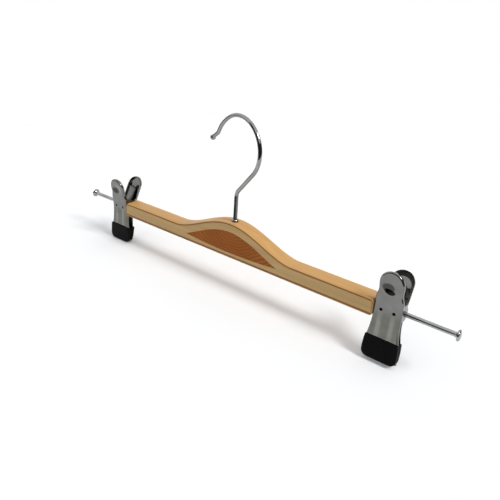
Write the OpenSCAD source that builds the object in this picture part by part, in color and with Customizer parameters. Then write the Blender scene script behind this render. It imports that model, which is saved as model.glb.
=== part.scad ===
// Skirt hanger: a wooden bar with a swivel hook and two sprung clips that slide on steel rods.
// X runs along the bar, the front of the hanger faces -Y and Z points up.
// The origin is the seat of the rail, inside the top of the hook, over the swivel axis.

/* [Bar] */
// Length of the wooden bar
bar_l = 245.5; // [190:0.5:330]
// Height of the bar at its ends
bar_h = 12.3; // [11.5:0.1:18]
// Thickness of the bar, front to back
bar_t = 13.8; // [12:0.1:20]
// Height of the bar's ends over the axis of the rods
bar_over_rod = 5.3; // [5:0.1:7]
// Rounding of the bar's edges
bar_round = 1.2; // [0.8:0.1:2.4]
// Rise of the hump in the middle of the bar
hump_h = 16.7; // [12:0.1:24]
// Length of the hump along the bar
hump_l = 116; // [90:1:150]

/* [Front facing and inlay] */
// Thickness of the pale facing let into the front
facing_t = 1.2; // [0.8:0.1:2]
// Flat border between the bar's rounded edge and the facing
facing_lip = 0.1; // [0.1:0.05:0.6]
// Extra border left below the facing
facing_sill = 0.5; // [0:0.1:1.5]
// Length of the dark inlay from point to point
inlay_l = 91.4; // [60:0.1:110]
// Facing left above the middle of the inlay
inlay_rail = 5.8; // [3:0.1:8]
// Height of the inlay's points over the axis of the rods
inlay_tip_z = -0.3; // [-1.5:0.1:1]
// Sag of the inlay's lower edge below its points
inlay_sag = 2.2; // [1:0.1:3]

/* [Hook] */
// Height of the rail seat over the axis of the rods
hook_h = 104.8; // [90:0.1:150]
// Diameter of the hook's wire
wire_d = 3.3; // [2.5:0.1:4]
// Clear diameter of the hook's eye
eye_d = 46.6; // [36:0.1:50]
// How far the middle of the eye lies behind the swivel axis
eye_shift = 1.7; // [0:0.1:4]
// Lean of the neck between the shank and the eye, in degrees
neck_lean = 41.3; // [35:0.1:50]
// Radius of the bend from the shank into the neck
neck_bend = 8; // [5:0.5:12]
// Where the eye ends, in degrees round it
eye_end = 163.5; // [140:0.5:175]
// Radius of the outward curl before the tip
curl_r = 6.8; // [4:0.1:9]
// Turn of the outward curl, in degrees
curl_turn = 46; // [20:1:60]
// Diameter of the ball on the tip
ball_d = 4.2; // [4:0.1:7]
// Turn of the hook about its shank, in degrees
hook_turn = -11; // [-90:1:90]

/* [Hook bush] */
// Diameter of the bush's collar on top of the bar
collar_d = 5.8; // [5.6:0.1:8]
// Height of the collar above the bar
collar_h = 1.9; // [1:0.1:4]
// Diameter of the bush's barrel inside the bar
barrel_d = 5.2; // [4.8:0.1:5.4]
// Length of the bush's barrel
barrel_l = 8; // [5:0.5:10]

/* [Rods] */
// Diameter of each rod
rod_d = 3.3; // [2.5:0.1:3.8]
// Length of rod outside the bar, to the outer end of its head
rod_out = 54.75; // [40:0.25:80]
// Length of rod pressed into the bar
rod_in = 22; // [12:1:40]
// Diameter of the rod's head
head_d = 7.4; // [6:0.1:10]
// Thickness of the rod's head
head_t = 2; // [1.2:0.1:4]

/* [Clip jaws] */
// Thickness of the jaws' sheet steel
sheet_t = 0.8; // [0.6:0.1:1]
// Width of a jaw across its handle
handle_w = 16.8; // [15:0.1:20]
// Width of the front jaw at the pivot
pivot_w = 19.1; // [16:0.1:22]
// Width of a jaw at its foot
foot_w = 22.2; // [20:0.1:28]
// Height of the handles over the rod
handle_h = 25.5; // [22:0.5:34]
// Depth of the jaws' feet below the rod
foot_h = 33.5; // [30:0.5:44]
// Distance of a jaw's face from the rod at the pivot
face_out = 6.2; // [6:0.1:8]
// Lean of the handles away from the clip's middle, in degrees
handle_lean = 18; // [10:0.5:22]
// Lean of the feet towards the clip's middle, in degrees
foot_lean = 7.5; // [4:0.5:8]
// Depth of the folded edge round a handle
flange_d = 2.6; // [2:0.1:3.6]
// Radius of the ears that turn on the grip sleeve
ear_r = 5; // [4:0.1:5.2]
// Narrowing of the front jaw between its pivot and its handle
waist_in = 0.7; // [0:0.1:1.2]
// Diameter of the two pierced holes beside the pivot
pierce_d = 2.2; // [1.2:0.1:3]
// Distance between the two pierced holes
pierce_gap = 8.8; // [6:0.1:10]
// Diameter of the thumb dimple
dimple_d = 5.6; // [3:0.1:7]
// Depth of the thumb dimple
dimple_h = 0.3; // [0.1:0.1:0.4]

/* [Pads] */
// Length of jaw that a pad covers
pad_cover = 13.4; // [10:0.1:20]
// Rubber outside the steel
pad_skin = 0.9; // [0.6:0.1:1.4]
// Rubber below the end of the steel
pad_end = 1.5; // [1:0.1:3]
// Rounding of a pad's lower corners
pad_corner = 3.2; // [1:0.1:5]
// Number of gripping grooves in a pad
groove_count = 5; // [3:1:6]

/* [Grip sleeve and spring] */
// Wall of the split sleeve that grips the rod
sleeve_wall = 0.4; // [0.3:0.05:0.6]
// Width of the slot along the sleeve
sleeve_slot = 0.9; // [0.5:0.1:1.2]
// Thickness of the spring strip
strip_t = 0.5; // [0.3:0.05:0.7]
// Width of the spring strip
strip_w = 8; // [5:0.1:10]
// Height of the spring's tips over the rod
strip_h = 15; // [12:0.5:17]

/* [Pose] */
// Swing of the left clip about its rod, in degrees
left_swing = -6; // [-90:1:90]
// Swing of the right clip about its rod, in degrees
right_swing = -18; // [-90:1:90]

/* [Hidden] */
LEFT = -1;
RIGHT = 1;

// Clearances: glued and pressed joints, running joints, and what must never rub
glue_gap = 0.03;
run_gap = 0.05;
free_gap = 0.3;
// Extra length of every cut
over = 1;

// The bar
rod_z = -hook_h;
bar_end = bar_l / 2;
bar_top = rod_z + bar_over_rod;
bar_bottom = bar_top - bar_h;
hump_half = hump_l / 2;
hump_fullness_share = 0.85;
hump_steps = 40;
round_steps = 4;
corner_left_share = 0.9;
facing_front = -bar_t / 2;
facing_back = facing_front + facing_t;
facing_corner = bar_round / 2;
facing_edge = bar_round + facing_lip;

// The inlay
inlay_half = inlay_l / 2;
inlay_steps = 36;

// The hook, drawn in its own upright plane as pairs of distance from the shank and height
wire_r = wire_d / 2;
eye_r = eye_d / 2 + wire_r;
eye_c = [-eye_shift, -sqrt(pow(eye_d / 2, 2) - pow(eye_shift, 2))];
neck_top = eye_c + eye_r * [cos(neck_lean), -sin(neck_lean)];
neck_foot_z = neck_top.y - neck_top.x / tan(neck_lean);
neck_tangent = neck_bend * tan(neck_lean / 2);
shank_top = [0, neck_foot_z - neck_tangent];
curl_c = eye_c + (eye_r + curl_r) * [cos(eye_end), sin(eye_end)];
curl_end = eye_end + 180 - curl_turn;
tip_start = curl_c + curl_r * [cos(curl_end), sin(curl_end)];
tip_l = ball_d * 0.8;
// The bent wire is drawn in flats that stand just outside the straight shank, so the two fuse
wire_step = 6;
wire_sides = 16;
wire_skin = 0.02;
tip_end = tip_start + tip_l * [cos(curl_end - 90), sin(curl_end - 90)];

// The bush and the hook's upset foot below it
collar_seat = collar_h / 5;
collar_z = bar_top + hump_h - collar_seat;
bush_foot_z = collar_z - barrel_l;
foot_t = wire_d * 0.36;
foot_r = barrel_d / 2 - free_gap / 2;
hook_foot_z = bush_foot_z - free_gap / 2 - foot_t;
chamber_l = barrel_l + foot_t + 2 * free_gap;

// The rods
rod_r = rod_d / 2;
rod_tip = bar_end + rod_out;
flare_l = head_t;

// The clips
handle_half = handle_w / 2;
front_half = pivot_w / 2;
rear_half = front_half - sheet_t - free_gap;
foot_half = foot_w / 2;
end_gap = 0.4;
clip_x = bar_end + end_gap + max(handle_half, front_half);
cap_z = pad_cover - foot_h;
bend_l = 4;
handle_arc_z = handle_h - handle_half;
ear_web = 7;
ear_web_end = ear_r * 0.7;
ear_flat = 5.5;
outline_steps = 8;
arc_steps = 20;
sleeve_r = rod_r + run_gap + sleeve_wall;
sleeve_l = 2 * front_half + free_gap;
pierce_z = -pierce_d * 0.6;
dimple_z = handle_h * 0.46;
flute_r = pierce_d * 0.9;
flute_h = sheet_t / 4;
bore_r = sleeve_r + run_gap;

// The pads
mate_gap = free_gap / 2;
pad_half = foot_half + pad_skin;
pad_flare = 0.3;
pad_bottom = -foot_h - pad_end;
groove_r = 0.5;
dot_r = 0.8;
dot_h = 0.3;

// The springs
loop_r = sleeve_r + free_gap + strip_t / 2;
loop_steps = 12;
strip_end = 1.2;

wood = [0.80, 0.62, 0.40];
pale_wood = [0.66, 0.60, 0.42];
dark_wood = [0.50, 0.29, 0.14];
steel = [0.62, 0.62, 0.63];
bright_steel = [0.80, 0.80, 0.82];
rubber = [0.07, 0.07, 0.07];

// Rise of the hump at x: a raised cosine, a little fuller than the plain one
function hump(x) = abs(x) >= hump_half ? 0
    : hump_h * pow((1 + cos(180 * x / hump_half)) / 2, hump_fullness_share);

function swing(side) = side == LEFT ? left_swing : right_swing;

// Points of a quarter round of radius r from angle a, about a centre
function quarter(c, r, a, steps = round_steps) =
    [for (i = [0:steps]) c + r * [cos(a + 90 * i / steps), sin(a + 90 * i / steps)]];

// Extrudes points of x and z from y0 to y1
module front_prism(points, y0, y1) {
    translate([0, y1, 0]) rotate([90, 0, 0]) linear_extrude(y1 - y0) polygon(points);
}

// Extrudes children drawn in y and z from x0 to x1
module side_prism(x0, x1) {
    translate([x0, 0, 0]) rotate([90, 0, 90]) linear_extrude(x1 - x0) children();
}

// Cylinder along X between x0 and x1
module x_rod(r, x0, x1) {
    translate([x0, 0, 0]) rotate([0, 90, 0]) cylinder(r = r, h = x1 - x0, $fn = 48);
}

// Outline of the bar in x and z, drawn in all round by inset and by sill more at the bottom,
// with corners of radius r
function bar_outline(inset, r, sill = 0) =
    let (end = bar_end - inset, low = bar_bottom + inset + sill, high = bar_top - inset)
    concat(quarter([r - end, low + r], r, 180), quarter([end - r, low + r], r, 270),
           quarter([end - r, high - r], r, 0),
           [for (i = [hump_steps:-1:0]) let (x = hump_half * (2 * i / hump_steps - 1))
               [x, high + hump(x)]],
           quarter([r - end, high - r], r, 90));

// Rings of the bar from its back to its front, drawn in over the rounded edges
bar_edge = [for (i = [0:round_steps]) let (a = 90 * i / round_steps)
    [bar_t / 2 - bar_round * (1 - cos(a)), bar_round * (1 - sin(a))]];
bar_rings = [for (e = concat(bar_edge, [for (i = [round_steps:-1:0]) [-bar_edge[i].x, bar_edge[i].y]]))
    [for (p = bar_outline(e.y, bar_round - corner_left_share * e.y)) [p.x, e.x, p.y]]];

// Closed solid through rings of the same number of points, each end a fan round its middle
module loft(rings, middles) {
    n = len(rings[0]);
    m = len(rings);
    points = concat([for (ring = rings) each ring], middles);
    sides = [for (j = [0:m - 2], k = [0:n - 1])
        let (a = j * n + k, b = j * n + (k + 1) % n) each [[a, b + n, b], [a, a + n, b + n]]];
    first = [for (k = [0:n - 1]) [m * n, k, (k + 1) % n]];
    last = [for (k = [0:n - 1]) [m * n + 1, (m - 1) * n + (k + 1) % n, (m - 1) * n + k]];
    polyhedron(points, concat(sides, first, last), convexity = 6);
}

// Outline of the facing, grown by gap
function facing_outline(gap) = bar_outline(facing_edge - gap, facing_corner, facing_sill);

// Facing left above the inlay at x, which widens from the middle to the points
function inlay_rail_at(x) =
    let (tip_rail = bar_over_rod - facing_edge + hump(inlay_half) - inlay_tip_z)
    inlay_rail + (tip_rail - inlay_rail) * pow(x / inlay_half, 2);

function inlay_top(x) = bar_top - facing_edge + hump(x) - inlay_rail_at(x);

function inlay_low(x) = rod_z + inlay_tip_z - inlay_sag * (1 - pow(x / inlay_half, 2));

// Outline of the inlay, grown by gap
function inlay_outline(gap) =
    let (xs = [for (i = [1:inlay_steps - 1]) inlay_half * (2 * i / inlay_steps - 1)])
    concat([[-inlay_half - 2 * gap, rod_z + inlay_tip_z]],
           [for (x = xs) [x, inlay_low(x) - gap]],
           [[inlay_half + 2 * gap, rod_z + inlay_tip_z]],
           [for (i = [len(xs) - 1:-1:0]) [xs[i], inlay_top(xs[i]) + gap]]);

module bar() {
    color(wood) difference() {
        loft(bar_rings, [[0, bar_t / 2, rod_z], [0, -bar_t / 2, rod_z]]);
        front_prism(facing_outline(glue_gap), facing_front - over, facing_back);
        for (side = [LEFT, RIGHT])
            translate([0, 0, rod_z]) x_rod(rod_r, side > 0 ? bar_end - rod_in : -bar_end - over,
                side > 0 ? bar_end + over : rod_in - bar_end);
        translate([0, 0, collar_z]) cylinder(d = collar_d + 2 * glue_gap, h = over, $fn = 48);
        translate([0, 0, collar_z - chamber_l])
            cylinder(d = barrel_d, h = chamber_l + over, $fn = 48);
    }
}

module front_facing() {
    color(pale_wood) difference() {
        front_prism(facing_outline(0), facing_front, facing_back);
        front_prism(inlay_outline(glue_gap), facing_front - over, facing_back + over);
    }
}

module inlay_panel() {
    color(dark_wood) front_prism(inlay_outline(0), facing_front, facing_back);
}

// Points of an arc about a centre from angle a to angle b, one every few degrees
function arc(c, r, a, b, step = wire_step) =
    let (n = ceil(abs(b - a) / step))
    [for (i = [0:n]) let (t = a + (b - a) * i / n) c + r * [cos(t), sin(t)]];

// The bent wire's middle line, from inside the shank to inside the ball
wire_curl = arc(curl_c, curl_r, eye_end + 180, curl_end);
wire_path = concat([shank_top - [0, over]],
    arc(shank_top + [neck_bend, 0], neck_bend, 180, 180 - neck_lean),
    arc(eye_c, eye_r, -neck_lean, eye_end),
    [for (i = [1:len(wire_curl) - 1]) wire_curl[i]], [tip_end]);

// Direction along a line of points at point i
function way(line, i) =
    let (d = line[min(i + 1, len(line) - 1)] - line[max(i - 1, 0)]) d / norm(d);

// Rings of the wire round its middle line, square to it
wire_rings = [for (i = [0:len(wire_path) - 1])
    let (p = wire_path[i], w = way(wire_path, i), r = (wire_r + wire_skin) / cos(180 / wire_sides))
    [for (k = [0:wire_sides - 1]) let (a = 360 * (k + 0.5) / wire_sides)
        [p.x + r * cos(a) * w.y, r * sin(a), p.y - r * cos(a) * w.x]]];

module hook() {
    color(bright_steel) rotate([0, 0, hook_turn]) {
        translate([0, 0, hook_foot_z]) cylinder(r = foot_r, h = foot_t, $fn = 48);
        translate([0, 0, hook_foot_z])
            cylinder(r = wire_r, h = shank_top.y - hook_foot_z, $fn = 48);
        loft(wire_rings, [for (p = [wire_path[0], tip_end]) [p.x, 0, p.y]]);
        translate([tip_end.x, 0, tip_end.y]) sphere(d = ball_d, $fn = 48);
    }
}

// Bush pressed into the bar, in which the hook's shank turns
module hook_bush() {
    crown_r = wire_r + (collar_d / 2 - wire_r) / 2;
    color(bright_steel) translate([0, 0, collar_z]) rotate_extrude($fn = 64) polygon([
        [wire_r + run_gap, -barrel_l], [barrel_d / 2, -barrel_l], [barrel_d / 2, 0],
        [collar_d / 2, 0], [collar_d / 2, collar_seat + collar_h / 3],
        [crown_r, collar_seat + collar_h], [wire_r + run_gap, collar_seat + collar_h]]);
}

// Rod pressed into one end of the bar, with a domed head and a flare under it
module rod(side) {
    neck = rod_tip - head_t;
    head_r = head_d / 2;
    dome_steps = 8;
    flare = [for (i = [0:round_steps]) let (u = i / round_steps)
        [rod_r + (head_r - rod_r) * pow(u, 3), neck - flare_l * (1 - u)]];
    dome = [for (i = [0:dome_steps]) let (a = 90 * i / dome_steps)
        [head_r * cos(a), rod_tip - head_t * 0.6 * (1 - sin(a))]];
    color(bright_steel) translate([0, 0, rod_z]) rotate([0, side * 90, 0])
        rotate_extrude($fn = 48) polygon(concat(
            [[0, bar_end - rod_in], [rod_r, bar_end - rod_in]], flare, dome));
}

// Puts a clip's piece, drawn round its rod, at its place on the left or right rod
module on_clip(side) {
    translate([side * clip_x, 0, rod_z]) rotate([swing(side), 0, 0]) children();
}

// Distance of a jaw's outer face from the clip's middle at height z, bent smoothly at the pivot
function face_d(z) = let (up = tan(handle_lean), low = tan(foot_lean))
    face_out + (z > bend_l ? z * up : z < -bend_l ? z * low
        : low * z + (up - low) * pow(z + bend_l, 2) / (4 * bend_l));

// Depth of the folded edge at height z: full round the handle, run out at the foot
function edge_d(z) = z > -ear_flat ? flange_d
    : sheet_t + (flange_d - sheet_t) * (foot_h + z) / (foot_h - ear_flat);

face_heights = [-foot_h, cap_z, -ear_flat, -bend_l, -bend_l / 2, 0, bend_l / 2, bend_l, handle_h];

// Region of y and z that a jaw's sheet and folded edges fill
module jaw_side() {
    polygon(concat([for (z = face_heights) [-face_d(z), z]],
        [for (z = reversed(face_heights)) [-face_d(z) + edge_d(z), z]]));
}

// Half width of a jaw at height z, for a half width at its pivot
function jaw_half(z, at_pivot) =
    z < cap_z ? foot_half
    : z < -ear_flat ? at_pivot + (foot_half - at_pivot) * pow((-ear_flat - z) / (-ear_flat - cap_z), 2)
    : z < ear_flat ? at_pivot
    : let (u = (z - ear_flat) / (handle_arc_z - ear_flat), dip = at_pivot < front_half ? 0 : waist_in)
      at_pivot + (handle_half - at_pivot) * u * u * (3 - 2 * u) - dip * pow(sin(180 * u), 2);

// Outline of a jaw in x and z, drawn in by inset at the sides and the top
function jaw_outline(at_pivot, inset, foot) =
    let (low = [for (i = [0:outline_steps]) cap_z + (-ear_flat - cap_z) * i / outline_steps],
         high = [for (i = [0:outline_steps - 1])
             ear_flat + (handle_arc_z - ear_flat) * i / outline_steps],
         side = [for (z = concat([foot], low, high)) [jaw_half(z, at_pivot) - inset, z]],
         top = [for (i = [0:arc_steps]) let (a = 180 * i / arc_steps)
             [0, handle_arc_z] + (handle_half - inset) * [cos(a), sin(a)]],
         back = [for (i = [len(side) - 1:-1:0]) [-side[i].x, side[i].y]])
    concat(side, top, back);

// Pressed steel jaw facing -Y: a face with folded edges, ears for the sleeve, pierced holes,
// shallow flutes below them and a thumb dimple on the handle
module jaw(at_pivot) {
    far = face_d(handle_h) + over;
    hollow_x = handle_half + foot_half;
    difference() {
        intersection() {
            front_prism(jaw_outline(at_pivot, 0, -foot_h), -far, ear_r + over);
            union() {
                side_prism(-hollow_x, hollow_x) jaw_side();
                side_prism(-hollow_x - over, hollow_x + over)
                    polygon([[sheet_t / 2 - face_d(ear_web), ear_web], [0, ear_web_end],
                             [0, -ear_web_end], [sheet_t / 2 - face_d(-ear_web), -ear_web]]);
                x_rod(ear_r, -hollow_x - 2 * over, hollow_x + 2 * over);
            }
        }
        intersection() {
            front_prism(jaw_outline(at_pivot, sheet_t, -foot_h - over), -far, ear_r + over);
            side_prism(-hollow_x, hollow_x) polygon(concat(
                [[ear_r + over, handle_h + over], [ear_r + over, -foot_h - over],
                 [sheet_t - face_d(-foot_h - over), -foot_h - over]],
                [for (z = face_heights) [sheet_t - face_d(z), z]],
                [[sheet_t - face_d(handle_h + over), handle_h + over]]));
        }
        x_rod(bore_r, -hollow_x, hollow_x);
        for (x = [-pierce_gap / 2, pierce_gap / 2]) {
            translate([x, 0, pierce_z]) rotate([90, 0, 0]) cylinder(d = pierce_d, h = far, $fn = 32);
            translate([x, -face_d(0) - flute_r + flute_h, 0]) rotate([foot_lean, 0, 0])
                translate([0, 0, -foot_h - over])
                cylinder(r = flute_r, h = foot_h + over + pierce_z, $fn = 48);
        }
        translate([0, -face_d(dimple_z), dimple_z]) rotate([handle_lean, 0, 0])
            translate([0, dimple_h - dimple_ball_r, 0]) sphere(r = dimple_ball_r, $fn = 96);
    }
}

// Radius of the ball that presses the dimple
dimple_ball_r = (pow(dimple_d / 2, 2) + pow(dimple_h, 2)) / (2 * dimple_h);

module front_jaw(side) { color(steel) on_clip(side) jaw(front_half); }

module rear_jaw(side) { color(steel) on_clip(side) mirror([0, 1, 0]) jaw(rear_half); }

// Rubber boot over a jaw's foot, facing -Y, with grooves where it grips
module pad() {
    top_half = pad_half - pad_flare;
    r = pad_corner;
    outline = concat([[top_half, cap_z]], [[-top_half, cap_z]],
        quarter([r - pad_half, pad_bottom + r], r, 180),
        quarter([pad_half - r, pad_bottom + r], r, 270));
    pitch = pad_cover / (groove_count + 1);
    heights = [-foot_h, cap_z + over];
    difference() {
        intersection() {
            front_prism(outline, -face_d(0) - pad_skin, 0);
            side_prism(-pad_half, pad_half) polygon([
                [-face_d(cap_z) - pad_skin, cap_z], [-face_d(pad_bottom) - pad_skin, pad_bottom],
                [-mate_gap, pad_bottom], [-mate_gap, cap_z]]);
        }
        side_prism(-foot_half - glue_gap, foot_half + glue_gap) polygon(concat(
            [for (z = heights) [-face_d(z) - glue_gap, z]],
            [for (z = [heights[1], heights[0]]) [-face_d(z) + edge_d(z) + glue_gap, z]]));
        for (i = [1:groove_count])
            translate([0, -mate_gap, cap_z - pitch * i]) x_rod(groove_r, -pad_half, pad_half);
        translate([0, -face_d(pad_dot_z) - pad_skin + dot_h, pad_dot_z]) rotate([90, 0, 0])
            cylinder(r = dot_r, h = over, $fn = 32);
    }
}

// Height of the small moulding dot in the middle of a pad
pad_dot_z = (cap_z + pad_bottom) / 2;

module front_pad(side) { color(rubber) on_clip(side) pad(); }

module rear_pad(side) { color(rubber) on_clip(side) mirror([0, 1, 0]) pad(); }

// Split tube that grips the rod and carries the jaws' ears
module grip_sleeve(side) {
    color(steel) on_clip(side) difference() {
        x_rod(sleeve_r, -sleeve_l / 2, sleeve_l / 2);
        x_rod(rod_r + run_gap, -sleeve_l, sleeve_l);
        translate([-sleeve_l, -sleeve_slot / 2, -sleeve_r - over])
            cube([2 * sleeve_l, sleeve_slot, sleeve_r + over]);
    }
}

// Middle line of half of the spring: from under the sleeve round it and out to the handle,
// where its end is turned in
function strip_line() =
    let (tip = [face_d(strip_h) - sheet_t - free_gap - strip_t, strip_h],
         lead = acos(loop_r / norm(tip)), leave = atan2(tip.y, tip.x) - lead)
    concat([for (i = [0:loop_steps]) let (a = -90 + (leave + 90) * i / loop_steps)
                loop_r * [cos(a), sin(a)]],
           [tip, tip + strip_end * [-sin(handle_lean), cos(handle_lean)]]);

// A line of points moved sideways by d
function moved(line, d) = [for (i = [0:len(line) - 1])
    let (w = way(line, i)) line[i] + d * [w.y, -w.x]];

function reversed(list) = [for (i = [len(list) - 1:-1:0]) list[i]];

// Strip spring looped under the sleeve, whose two arms press the handles apart
module spring(side) {
    rear = strip_line();
    line = concat([for (i = [len(rear) - 1:-1:1]) [-rear[i].x, rear[i].y]], rear);
    color(steel) on_clip(side) side_prism(-strip_w / 2, strip_w / 2)
        polygon(concat(moved(line, strip_t / 2), reversed(moved(line, -strip_t / 2))));
}

bar();
front_facing();
inlay_panel();
hook();
hook_bush();
rod(LEFT);  // left_rod
rod(RIGHT);  // right_rod
grip_sleeve(LEFT);  // left_grip_sleeve
front_jaw(LEFT);  // left_front_jaw
front_pad(LEFT);  // left_front_pad
rear_jaw(LEFT);  // left_rear_jaw
rear_pad(LEFT);  // left_rear_pad
spring(LEFT);  // left_spring
grip_sleeve(RIGHT);  // right_grip_sleeve
front_jaw(RIGHT);  // right_front_jaw
front_pad(RIGHT);  // right_front_pad
rear_jaw(RIGHT);  // right_rear_jaw
rear_pad(RIGHT);  // right_rear_pad
spring(RIGHT);  // right_spring
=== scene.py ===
"""Looks of a skirt hanger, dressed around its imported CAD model: a wooden bar with a facing and an
inlay, a wire hook in its bush, two headed rods and two sprung clips with rubber pads.
Laid out as an add-on and run as a script. Shapes are worked out in millimetres."""

import bpy
import numpy as np
from bpy.props import FloatProperty, FloatVectorProperty, IntProperty, PointerProperty
from mathutils import Matrix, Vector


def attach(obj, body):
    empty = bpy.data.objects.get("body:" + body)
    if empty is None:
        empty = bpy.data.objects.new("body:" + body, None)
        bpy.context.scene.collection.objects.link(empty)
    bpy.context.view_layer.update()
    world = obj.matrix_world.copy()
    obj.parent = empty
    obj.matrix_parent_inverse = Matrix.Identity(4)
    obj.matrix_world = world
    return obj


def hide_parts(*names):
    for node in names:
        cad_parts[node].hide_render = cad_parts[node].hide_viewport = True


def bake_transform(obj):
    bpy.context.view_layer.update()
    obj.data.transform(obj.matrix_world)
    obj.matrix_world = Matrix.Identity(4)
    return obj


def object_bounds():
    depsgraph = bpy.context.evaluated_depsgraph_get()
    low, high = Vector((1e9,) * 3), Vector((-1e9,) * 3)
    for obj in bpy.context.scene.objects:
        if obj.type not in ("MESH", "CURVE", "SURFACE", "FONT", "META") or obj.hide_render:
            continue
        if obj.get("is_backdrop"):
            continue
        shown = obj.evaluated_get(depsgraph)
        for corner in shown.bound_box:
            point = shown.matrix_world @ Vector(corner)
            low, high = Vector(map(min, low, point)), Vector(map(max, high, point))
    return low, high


bl_info = {
    "name": "Skirt hanger",
    "version": (1, 0, 0),
    "blender": (4, 5, 0),
    "location": "3D View > Sidebar > Hanger",
    "description": "Builds the wooden bar, hook, rods and sprung clips of a skirt hanger",
    "category": "Object",
}

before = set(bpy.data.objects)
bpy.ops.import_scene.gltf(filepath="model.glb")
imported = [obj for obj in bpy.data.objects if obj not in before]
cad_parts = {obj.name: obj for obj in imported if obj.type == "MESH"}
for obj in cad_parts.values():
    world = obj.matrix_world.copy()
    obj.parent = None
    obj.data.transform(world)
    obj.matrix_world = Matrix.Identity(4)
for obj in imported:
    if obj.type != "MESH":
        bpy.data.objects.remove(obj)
CAD_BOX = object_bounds()
MM = 0.001
SIDES = {"left": -1, "right": 1}


# Properties

def length(name, description, default):
    """A length in metres that a user may change."""
    return FloatProperty(name=name, description=description, default=default, min=0, unit="LENGTH",
                         precision=4)


def angle(name, description, degrees):
    """An angle that a user may change."""
    return FloatProperty(name=name, description=description, default=np.radians(degrees),
                         subtype="ANGLE")


def colour(name, description, default):
    """A colour that a user may change."""
    return FloatVectorProperty(name=name, description=description, default=default, size=3,
                               subtype="COLOR", min=0, max=1)


class HANGER_bar_settings(bpy.types.PropertyGroup):
    """Sizes and colours of the wooden bar, its facing and its inlay."""
    bar_length: length("Length", "Length of the wooden bar", 0.2455)
    height: length("Height", "Height of the bar at its ends", 0.0123)
    thickness: length("Thickness", "Thickness of the bar from front to back", 0.0138)
    over_rod: length("Over rod", "Height of the bar's top over the rods' axis", 0.0053)
    rounding: length("Rounding", "Radius of the bar's rounded edges", 0.0012)
    hump_rise: length("Hump rise", "Rise of the hump in the middle", 0.0167)
    hump_length: length("Hump length", "Length of the hump along the bar", 0.116)
    facing_thickness: length("Facing", "Thickness of the pale facing", 0.0012)
    inlay_length: length("Inlay length", "Length of the inlay between its points", 0.0914)
    wood: colour("Wood", "Lacquered wood of the bar", (0.57, 0.318, 0.107))
    seam: colour("Seam", "Dark glue line round the facing", (0.275, 0.115, 0.028))
    facing: colour("Facing wood", "Pale facing", (0.49, 0.325, 0.143))
    inlay: colour("Inlay wood", "Dark inlay", (0.33, 0.098, 0.0155))


class HANGER_hook_settings(bpy.types.PropertyGroup):
    """Sizes and finish of the hook, its bush and the rods."""
    rail_height: length("Rail height", "Height of the rail seat over the rods' axis", 0.1048)
    wire: length("Wire", "Diameter of the hook's wire", 0.0033)
    eye: length("Eye", "Clear diameter of the hook's eye", 0.0466)
    ball: length("Ball", "Diameter of the ball on the tip", 0.0048)
    turn: angle("Turn", "Turn of the hook about its shank", -12.7)
    rod: length("Rod", "Diameter of the rods", 0.0033)
    rod_out: length("Rod outside", "Length of rod outside the bar", 0.05475)
    head: length("Head", "Diameter of a rod's head", 0.0074)
    metal: colour("Metal", "Bright plated steel", (0.305, 0.305, 0.305))


class HANGER_clip_settings(bpy.types.PropertyGroup):
    """Sizes and finishes of the two clips."""
    handle_width: length("Handle width", "Width of a jaw across its handle", 0.0168)
    pivot_width: length("Pivot width", "Width of the front jaw at its pivot", 0.0191)
    foot_width: length("Foot width", "Width of a jaw at its foot", 0.0222)
    handle_height: length("Handle height", "Height of the handles over the rod", 0.0255)
    foot_depth: length("Foot depth", "Depth of the feet below the rod", 0.0335)
    bend: length("Bend", "Outer radius of the folded edges", 0.0015)
    left_swing: angle("Left swing", "Swing of the left clip about its rod", -6)
    right_swing: angle("Right swing", "Swing of the right clip about its rod", -18)
    grooves: IntProperty(name="Grooves", description="Gripping grooves in a pad", default=5, min=0)
    steel: colour("Steel", "Plated steel of the jaws", (0.205, 0.205, 0.195))
    rubber: colour("Rubber", "Rubber of the pads", (0.003, 0.003, 0.003))


class HANGER_stage_settings(bpy.types.PropertyGroup):
    """Camera and light."""
    focal: length("Focal length", "Focal length of the camera on a 36 mm sensor", 0.03715)
    lamp: FloatProperty(name="Lamp", description="Strength of the soft lamp", default=2.0, min=0)
    floor: colour("Floor", "Colour of the floor", (0.972, 0.98, 0.988))


# Surfaces

def mm(value):
    """A property's metres in millimetres."""
    return value / MM


def grid_faces(rows, columns, wrap=False):
    """Four-cornered faces of a grid whose points run along the columns first. Each face goes round
    (row, column), (row + 1, column), (row + 1, column + 1), (row, column + 1)."""
    i, j = np.meshgrid(np.arange(rows - 1), np.arange(columns if wrap else columns - 1),
                       indexing="ij")
    k = (j + 1) % columns
    return np.stack([i * columns + j, (i + 1) * columns + j, (i + 1) * columns + k,
                     i * columns + k], -1).reshape(-1, 4)


def join(*parts):
    """One set of points and faces out of several."""
    shift = np.cumsum([0] + [len(points) for points, _ in parts[:-1]])
    return (np.concatenate([points for points, _ in parts]),
            np.concatenate([faces + s for (_, faces), s in zip(parts, shift)]))


def welded(points, faces, step=2e-4):
    """Joins points that round to the same step. A face that loses a corner repeats one, and a face
    that keeps less than three is dropped."""
    key = np.round(points / step).astype(np.int64)
    _, first, back = np.unique(key, axis=0, return_index=True, return_inverse=True)
    faces = back.reshape(-1)[faces]
    same = faces == np.roll(faces, -1, axis=1)
    return first, faces[same.sum(1) < 2]


def corner_lists(faces):
    """Faces with a repeated corner as triangles, the others as they are."""
    same = faces == np.roll(faces, -1, axis=1)
    out = faces[~same.any(1)].tolist()
    for corner in range(faces.shape[1]):
        keep = [c for c in range(faces.shape[1]) if c != corner]
        out += faces[same[:, corner]][:, keep].tolist()
    return out


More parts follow.
